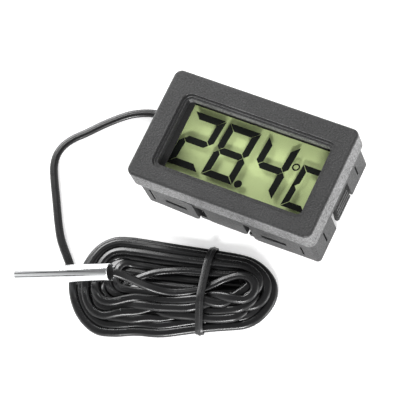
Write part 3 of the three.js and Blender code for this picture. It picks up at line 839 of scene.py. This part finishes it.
# ---------------------------------------------------------------------------------------------
# Rear cover and battery door: the cover clips into the back of the housing by four arms and
# holds the battery well. The door is pulled straight off by its nail recess.
# ---------------------------------------------------------------------------------------------
moulded("rear_cover", "rear_moulding", HOUSING_ABS, 0.09 * MM)
moulded("battery_door", "door_moulding", HOUSING_ABS, 0.09 * MM)

# ---------------------------------------------------------------------------------------------
# Power: two steel button cells side by side in the well, a plated link across one face of them
# and a sprung contact on each.
# ---------------------------------------------------------------------------------------------
CELL_STEEL = grained("cell_steel", (0.62, 0.62, 0.62), 0.5, 0.06, 0.06, (0.36, 0.22), metallic=1.0)
PLATED = grained("plated_spring", (0.72, 0.58, 0.3), 0.6, 0.08, 0.08, (0.34, 0.2), metallic=1.0)
for number in (1, 2):
    moulded(f"button_cell_{number}", f"cell_{number}", CELL_STEEL, 0.12 * MM)
for spring in ("cell_link", "cell_contact_positive", "cell_contact_negative"):
    dressed(spring, PLATED)

# ---------------------------------------------------------------------------------------------
# Grommet and sensor wires: a soft black bush grips the twin lead in the end wall, and inside it
# the two wires run on to the board.
# ---------------------------------------------------------------------------------------------
GROMMET_RUBBER = grained("grommet_rubber", (0.014, 0.014, 0.015), 0.5, 0.3, 0.2, (0.7, 0.5))
bush = moulded("cable_grommet", "grommet_bush", GROMMET_RUBBER, 0.12 * MM)
for number in (1, 2):
    dressed(f"sensor_wire_{number}", CABLE_PVC)

# ---------------------------------------------------------------------------------------------
# Table and light: a white table that glows a little, a pale room that is dimmer overhead, and three
# soft boxes. The main one stands behind the left of the module, so its light falls towards the front
# right. Two black cards stand off to the side and show only in the polished probe.
# ---------------------------------------------------------------------------------------------
TABLE_HALF = 3.0
TABLE_DROP = 0.02 * MM  # below the module's underside, so that the two don't lie in one plane
CARD_HALF_LONG = 0.2
CARD_HALF_WIDE = 0.065


def table():
    """The table top, a single square."""
    bm = bmesh.new()
    corners = ((-1, -1), (1, -1), (1, 1), (-1, 1))
    bm.faces.new([bm.verts.new((x * TABLE_HALF, y * TABLE_HALF, -TABLE_DROP)) for x, y in corners])
    top = linked("table", bm, 30)
    white = grained("white_table", (0.85, 0.85, 0.85), 4.0, 0.01, 0.02, (0.9, 0.8), specular=0.1)
    shader = white.node_tree.nodes["Principled BSDF"]
    shader.inputs["Emission Color"].default_value = (1, 1, 1, 1)
    shader.inputs["Emission Strength"].default_value = 0.45
    top.data.materials.append(white)


def room():
    """The light from all round: white low down, and dim overhead."""
    world = bpy.data.worlds.new("room")
    world.use_nodes = True
    tree = world.node_tree
    tree.nodes.clear()
    place = add_node(tree, "ShaderNodeTexCoord").outputs["Generated"]
    split = add_node(tree, "ShaderNodeSeparateXYZ", {0: place})
    ramp = add_node(tree, "ShaderNodeValToRGB", {0: split.outputs["Z"]})
    low, high = ramp.color_ramp.elements
    low.position = 0.2
    low.color = (1.0, 1.0, 1.0, 1)
    high.position = 0.9
    high.color = (0.14, 0.14, 0.14, 1)
    background = add_node(tree, "ShaderNodeBackground", {"Color": ramp.outputs[0]}, {"Strength": 1.6})
    add_node(tree, "ShaderNodeOutputWorld", {"Surface": background.outputs[0]})
    scene.world = world


def dark_card(name, place):
    """A black card off to the side, which the polished probe shows as a dark line along it."""
    place = Vector(place)
    away_from_probe = (place - PROBE_TIP).normalized()
    along = (PROBE_END - PROBE_TIP).cross(away_from_probe).cross(away_from_probe).normalized()
    across = along.cross(away_from_probe).normalized()
    along *= CARD_HALF_LONG
    across *= CARD_HALF_WIDE
    bm = bmesh.new()
    corners = (-along - across, along - across, along + across, across - along)
    bm.faces.new([bm.verts.new(place + corner) for corner in corners])
    card = linked(name, bm, 30)
    card.data.materials.append(BLACK_CARD)
    card.visible_camera = False


def soft_box(name, place, size, watts):
    """A flat lamp of the given size, turned to face the object."""
    light = bpy.data.lights.new(name, "AREA")
    light.shape = "RECTANGLE"
    light.size, light.size_y = size
    light.energy = watts
    lamp = bpy.data.objects.new(name, light)
    lamp.location = place
    lamp.rotation_mode = "QUATERNION"
    lamp.rotation_quaternion = (AIM - Vector(place)).to_track_quat("-Z", "Y")
    scene.collection.objects.link(lamp)


table()
room()
BLACK_CARD = grained("black_card", (0.01, 0.01, 0.01), 5.0, 0.1, 0.1, (0.9, 0.8), specular=0.05)
dark_card("card_high", (-0.5013, -0.1656, 0.5095))
dark_card("card_low", (-0.321, -0.5939, 0.3205))
soft_box("box_back_left", (-0.85, 0.55, 0.6), (0.5, 0.5), 12.0)
soft_box("box_front", (0.3, -0.8, 0.5), (0.3, 0.15), 9.0)
soft_box("box_right", (0.95, 0.05, 0.2), (0.7, 0.3), 4.0)
scene.view_settings.view_transform = "Standard"
